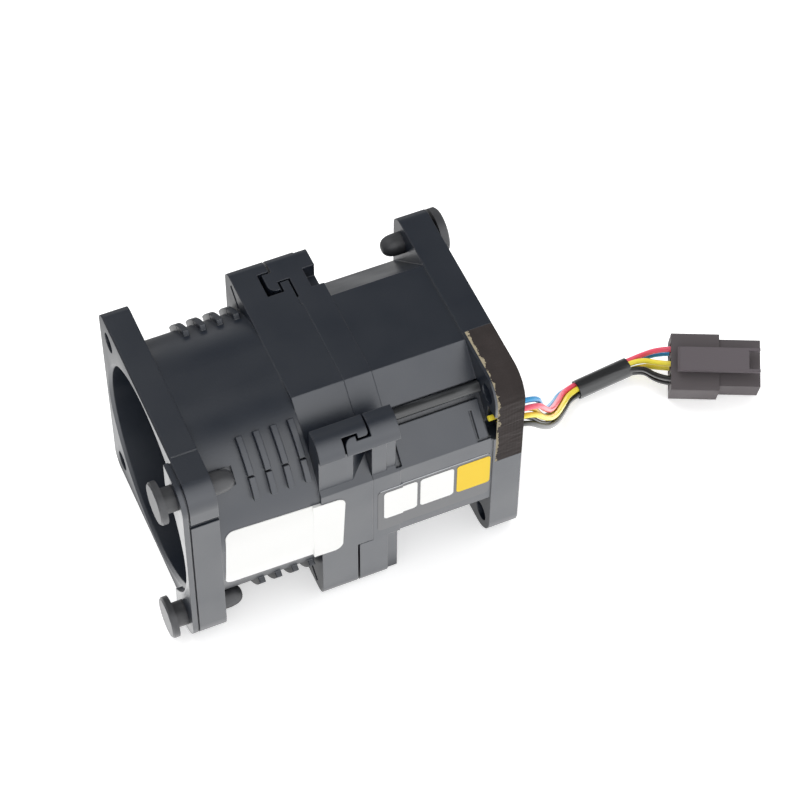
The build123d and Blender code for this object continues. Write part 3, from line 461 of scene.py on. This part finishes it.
def sweep_white():
    """White paper with a faint glow for camera rays, and for glossy rays a card that fades
    from 20 mm in front of the module's axis to 85 mm behind it. Under the module, which
    covers 56 by 40 mm, only the shaded share of the card is left."""
    material = bpy.data.materials.new("white_paper_sweep")
    material.use_nodes = True
    tree = material.node_tree
    tree.nodes.clear()
    ray = add(tree, "ShaderNodeLightPath")
    place = add(tree, "ShaderNodeTexCoord")
    split = add(tree, "ShaderNodeSeparateXYZ", {"Vector": place.outputs["Object"]})
    fade = add(tree, "ShaderNodeMapRange", {"Value": split.outputs["Y"],
                                            "From Min": -20 * mm, "From Max": 85 * mm,
                                            "To Min": card_in_front, "To Max": card_behind},
               interpolation_type="SMOOTHSTEP")
    off_middle = add(tree, "ShaderNodeMath", {0: split.outputs["X"]}, operation="ABSOLUTE")
    off_axis = add(tree, "ShaderNodeMath", {0: split.outputs["Y"]}, operation="ABSOLUTE")
    past_ends = add(tree, "ShaderNodeMapRange", {"Value": off_middle.outputs["Value"],
                                                 "From Min": 28 * mm, "From Max": 31 * mm,
                                                 "To Min": shaded_share, "To Max": 1.0})
    past_sides = add(tree, "ShaderNodeMapRange", {"Value": off_axis.outputs["Value"],
                                                  "From Min": 18 * mm, "From Max": 22 * mm,
                                                  "To Min": shaded_share, "To Max": 1.0})
    open_paper = add(tree, "ShaderNodeMath", {0: past_ends.outputs["Result"],
                                              1: past_sides.outputs["Result"]},
                     operation="MAXIMUM")
    strength = add(tree, "ShaderNodeMath", {0: fade.outputs["Result"],
                                            1: open_paper.outputs["Value"]},
                   operation="MULTIPLY")
    card = add(tree, "ShaderNodeEmission", {"Color": white,
                                            "Strength": strength.outputs["Value"]})
    paper = add(tree, "ShaderNodeBsdfDiffuse", {"Color": linear("#fafafa")})
    lift = add(tree, "ShaderNodeMath", {0: ray.outputs["Is Camera Ray"], 1: camera_glow},
               operation="MULTIPLY")
    glow = add(tree, "ShaderNodeEmission", {"Color": white,
                                            "Strength": lift.outputs["Value"]})
    lit = add(tree, "ShaderNodeAddShader", {0: paper.outputs["BSDF"],
                                            1: glow.outputs["Emission"]})
    mix = add(tree, "ShaderNodeMixShader", {0: ray.outputs["Is Glossy Ray"],
                                            1: lit.outputs["Shader"],
                                            2: card.outputs["Emission"]})
    add(tree, "ShaderNodeOutputMaterial", {"Surface": mix.outputs["Shader"]})
    return material


floor_mesh = bpy.data.meshes.new("floor")
floor_corners = [(-floor_reach, -floor_reach, 0), (floor_reach, -floor_reach, 0),
                 (floor_reach, floor_reach, 0), (-floor_reach, floor_reach, 0)]
floor_mesh.from_pydata(floor_corners, [], [(0, 1, 2, 3)])
floor = bpy.data.objects.new("floor", floor_mesh)
floor_mesh.materials.append(sweep_white())
bpy.context.scene.collection.objects.link(floor)


# World: plain white to the camera, and an even light on matt surfaces. To glossy rays it is
# bright up to 6 degrees above the horizon and dim from 37 degrees, with a soft panel in
# front of the module that fades out 57 degrees from its middle.
room_light = 0.9
low_light, overhead_light = 0.9, 0.16
panel_direction = (0.2, -0.85, 0.48)
panel_light = 3.1

world = bpy.data.worlds.new("studio")
bpy.context.scene.world = world
world.use_nodes = True
tree = world.node_tree
tree.nodes.clear()
direction = add(tree, "ShaderNodeTexCoord")
split = add(tree, "ShaderNodeSeparateXYZ", {"Vector": direction.outputs["Generated"]})
horizon = add(tree, "ShaderNodeMapRange", {"Value": split.outputs["Z"], "From Min": 0.1,
                                           "From Max": 0.6, "To Min": low_light,
                                           "To Max": overhead_light},
              interpolation_type="SMOOTHSTEP")
facing = add(tree, "ShaderNodeVectorMath", {0: direction.outputs["Generated"],
                                            1: panel_direction}, operation="DOT_PRODUCT")
panel = add(tree, "ShaderNodeMapRange", {"Value": facing.outputs["Value"], "From Min": 0.55,
                                         "From Max": 1.0, "To Min": 0.0,
                                         "To Max": panel_light},
            interpolation_type="SMOOTHSTEP")
shine = add(tree, "ShaderNodeMath", {0: horizon.outputs["Result"], 1: panel.outputs["Result"]},
            operation="ADD")
ray = add(tree, "ShaderNodeLightPath")
seen = add(tree, "ShaderNodeMix", {"Factor": ray.outputs["Is Glossy Ray"], "A": room_light,
                                   "B": shine.outputs["Value"]})
strength = add(tree, "ShaderNodeMix", {"Factor": ray.outputs["Is Camera Ray"],
                                       "A": seen.outputs["Result"], "B": 1.0})
background = add(tree, "ShaderNodeBackground", {"Color": white,
                                                "Strength": strength.outputs["Result"]})
add(tree, "ShaderNodeOutputWorld", {"Surface": background.outputs["Background"]})


# Lamp: one square softbox high up behind the module, on the inlet's side.
def softbox(name, place, target, size, power):
    """A square area lamp of that size, at a place, turned to face a target."""
    data = bpy.data.lights.new(name, "AREA")
    data.shape = "SQUARE"
    data.size = size
    data.energy = power
    lamp = bpy.data.objects.new(name, data)
    aim = (Vector(target) - Vector(place)).to_track_quat("-Z", "Y")
    lamp.matrix_world = Matrix.Translation(place) @ aim.to_matrix().to_4x4()
    bpy.context.scene.collection.objects.link(lamp)


softbox("high_softbox", place=(-0.3, 0.5, 1.2), target=(0, 0, 0), size=0.8, power=4.0)
